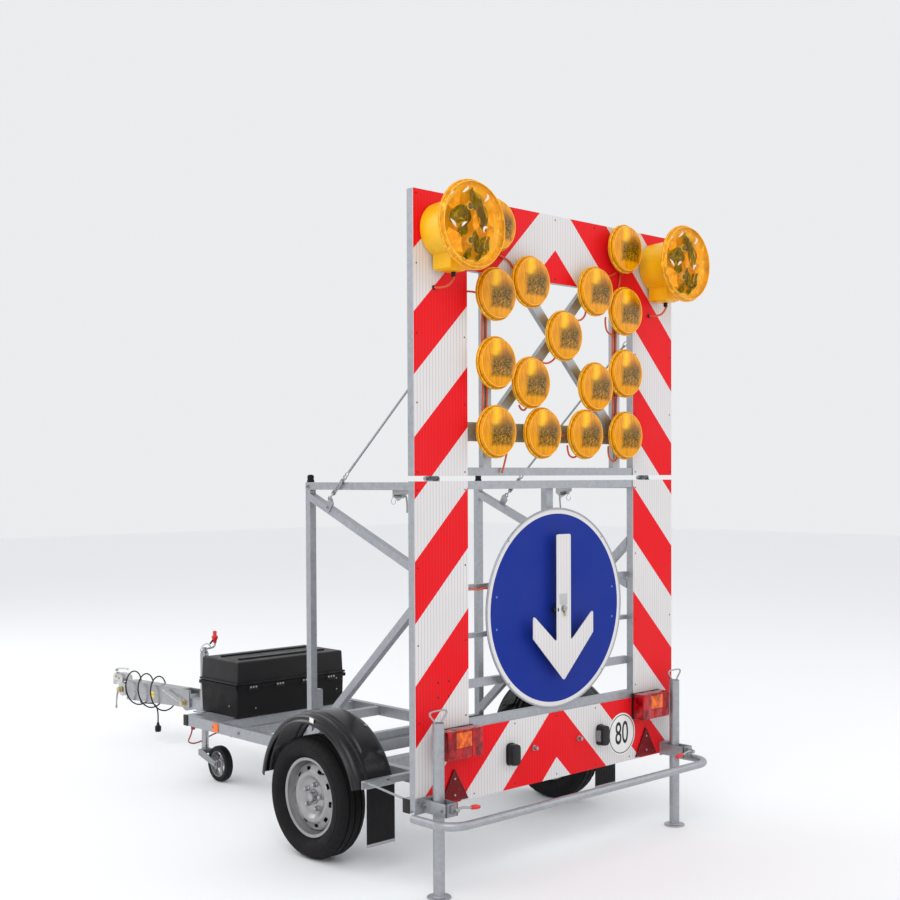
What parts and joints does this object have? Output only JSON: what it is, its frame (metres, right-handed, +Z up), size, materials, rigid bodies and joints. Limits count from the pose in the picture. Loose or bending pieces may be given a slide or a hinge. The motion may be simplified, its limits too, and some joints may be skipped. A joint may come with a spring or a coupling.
{
  "type": "arrow board trailer",
  "caption": "Single-axle road works trailer with a folding red and white striped board, amber arrow lamps, beacons, a turnable pass-side sign, tool box, drawbar and support legs.",
  "frame": {"origin": "on the ground, under the middle of the whole trailer", "axes": "+Y towards the towing vehicle, +X to the right seen from behind, +Z up"},
  "size_m": [1.7774, 4.2638, 2.895],
  "materials": {
    "galvanised_steel": "hot-dip galvanised, spangled, matt",
    "zinc_plated_steel": "bright zinc plated",
    "wire_rope": "galvanised stranded wire",
    "striped_board": "red and white retroreflective sheeting on aluminium planks",
    "sign_sheet": "blue retroreflective sheeting with a white border",
    "arrow_sheet": "white retroreflective sheeting",
    "amber_lamp": "clear amber ribbed lens in a yellow bowl",
    "yellow_lamp_housing": "yellow moulded housing with a clear amber lens",
    "tail_lens": "clear red and amber lens",
    "black_plastic": "grained moulded plastic",
    "tyre_rubber": "tyre tread and sidewall",
    "wheel_steel": "silver painted pressed steel",
    "solid_rubber": "solid rubber on a metal hub",
    "cable_sheath": "smooth black cable sheath"
  },
  "bodies": {
    "chassis": {"chassis_frame": "galvanised_steel", "axle_beam": "galvanised_steel", "mast_frame_left": "galvanised_steel", "mast_frame_right": "galvanised_steel", "lower_board_frame": "galvanised_steel", "lower_panel_left": "striped_board", "lower_panel_right": "striped_board", "lower_panel_bottom": "striped_board", "sign_disc": "sign_sheet", "tail_light_left": "tail_lens", "tail_light_right": "tail_lens", "bumper_bar": "galvanised_steel", "fender_left": "black_plastic", "fender_right": "black_plastic", "tool_box": "black_plastic", "jockey_outer_tube": "zinc_plated_steel", "guy_rope_left": "wire_rope", "guy_rope_right": "wire_rope"},
    "upper_board": {"upper_board_frame": "galvanised_steel", "upper_panel_left": "striped_board", "upper_panel_right": "striped_board", "upper_panel_top": "striped_board", "arrow_lamp_01": "amber_lamp", "arrow_lamp_02": "amber_lamp", "arrow_lamp_03": "amber_lamp", "arrow_lamp_04": "amber_lamp", "arrow_lamp_05": "amber_lamp", "arrow_lamp_06": "amber_lamp", "arrow_lamp_07": "amber_lamp", "arrow_lamp_08": "amber_lamp", "arrow_lamp_09": "amber_lamp", "arrow_lamp_10": "amber_lamp", "arrow_lamp_11": "amber_lamp", "arrow_lamp_12": "amber_lamp", "arrow_lamp_13": "amber_lamp", "arrow_lamp_14": "amber_lamp", "arrow_lamp_15": "amber_lamp", "warning_lamp_left": "yellow_lamp_housing", "warning_lamp_right": "yellow_lamp_housing"},
    "sign_arrow": {"sign_arrow": "arrow_sheet"},
    "wheel_left": {"tyre_left": "tyre_rubber", "rim_left": "wheel_steel"},
    "wheel_right": {"tyre_right": "tyre_rubber", "rim_right": "wheel_steel"},
    "box_lid": {"tool_box_lid": "black_plastic"},
    "drawbar": {"drawbar_beam": "zinc_plated_steel", "connection_cable": "cable_sheath", "cable_plug": "black_plastic"},
    "coupling": {"coupling_head": "zinc_plated_steel"},
    "coupling_handle": {"coupling_handle": "zinc_plated_steel"},
    "drawbar_lever_rear": {"drawbar_lever_rear": "zinc_plated_steel"},
    "drawbar_lever_front": {"drawbar_lever_front": "zinc_plated_steel"},
    "jockey_tube": {"jockey_inner_tube": "zinc_plated_steel"},
    "jockey_fork": {"jockey_fork": "zinc_plated_steel"},
    "jockey_wheel": {"jockey_wheel": "solid_rubber"},
    "jockey_crank": {"jockey_crank": "zinc_plated_steel"},
    "leg_left": {"support_leg_left": "galvanised_steel"},
    "leg_right": {"support_leg_right": "galvanised_steel"},
    "clamp_left": {"clamp_handle_left": "zinc_plated_steel"},
    "clamp_right": {"clamp_handle_right": "zinc_plated_steel"}
  },
  "joints": [
    {"name": "upper_board_fold", "type": "hinge", "parent": "chassis", "child": "upper_board", "pos_m": [0, -1.826, 1.703], "axis": [-1, 0, 0], "range_deg": [0, 90], "deforming": ["guy_rope_left", "guy_rope_right"]},
    {"name": "arrow_turn", "type": "hinge", "parent": "chassis", "child": "sign_arrow", "pos_m": [0, -1.888, 1.12], "axis": [0, 1, 0], "range_deg": [-45, 45]},
    {"name": "wheel_left_spin", "type": "hinge", "parent": "chassis", "child": "wheel_left", "pos_m": [-0.7925, -1.1545, 0.275], "axis": [1, 0, 0], "continuous": true},
    {"name": "wheel_right_spin", "type": "hinge", "parent": "chassis", "child": "wheel_right", "pos_m": [0.7925, -1.1545, 0.275], "axis": [1, 0, 0], "continuous": true},
    {"name": "box_lid_hinge", "type": "hinge", "parent": "chassis", "child": "box_lid", "pos_m": [0, 0.101, 0.574], "axis": [1, 0, 0], "range_deg": [0, 95]},
    {"name": "drawbar_tilt", "type": "hinge", "parent": "chassis", "child": "drawbar", "pos_m": [0, 1.192, 0.307], "axis": [1, 0, 0], "range_deg": [-5, 40]},
    {"name": "coupling_tilt", "type": "hinge", "parent": "drawbar", "child": "coupling", "pos_m": [0, 1.982, 0.3], "axis": [1, 0, 0], "range_deg": [-40, 10]},
    {"name": "coupling_handle_lift", "type": "hinge", "parent": "coupling", "child": "coupling_handle", "pos_m": [0, 2.108, 0.4005], "axis": [-1, 0, 0], "range_deg": [0, 40]},
    {"name": "drawbar_lever_rear_turn", "type": "hinge", "parent": "chassis", "child": "drawbar_lever_rear", "pos_m": [0, 1.192, 0.307], "axis": [1, 0, 0], "range_deg": [0, 80]},
    {"name": "drawbar_lever_front_turn", "type": "hinge", "parent": "drawbar", "child": "drawbar_lever_front", "pos_m": [0, 1.982, 0.3], "axis": [1, 0, 0], "range_deg": [-40, 40]},
    {"name": "jockey_crank_turn", "type": "hinge", "parent": "chassis", "child": "jockey_crank", "pos_m": [-0.31, 0.532, 0.712], "axis": [0, 0, 1], "range_deg": [0, 3960]},
    {"name": "jockey_height", "type": "slide", "parent": "chassis", "child": "jockey_tube", "axis": [0, 0, 1], "range_m": [0, 0.11]},
    {"name": "jockey_swivel", "type": "hinge", "parent": "jockey_tube", "child": "jockey_fork", "pos_m": [-0.31, 0.532, 0.1695], "axis": [0, 0, 1], "continuous": true},
    {"name": "jockey_wheel_spin", "type": "hinge", "parent": "jockey_fork", "child": "jockey_wheel", "pos_m": [-0.31, 0.377, 0.1], "axis": [1, 0, 0], "continuous": true},
    {"name": "leg_left_slide", "type": "slide", "parent": "chassis", "child": "leg_left", "axis": [0, 0, 1], "range_m": [0, 0.25]},
    {"name": "clamp_left_turn", "type": "hinge", "parent": "chassis", "child": "clamp_left", "pos_m": [-0.786, -2.0493, 0.378], "axis": [0, 1, 0], "range_deg": [-90, 90]},
    {"name": "leg_right_slide", "type": "slide", "parent": "chassis", "child": "leg_right", "axis": [0, 0, 1], "range_m": [0, 0.25]},
    {"name": "clamp_right_turn", "type": "hinge", "parent": "chassis", "child": "clamp_right", "pos_m": [0.786, -2.0493, 0.378], "axis": [0, 1, 0], "range_deg": [-90, 90]}
  ],
  "couplings": [
    {"joint": "jockey_height", "follows": "jockey_crank_turn", "m_per_rad": 0.0015915}
  ]
}
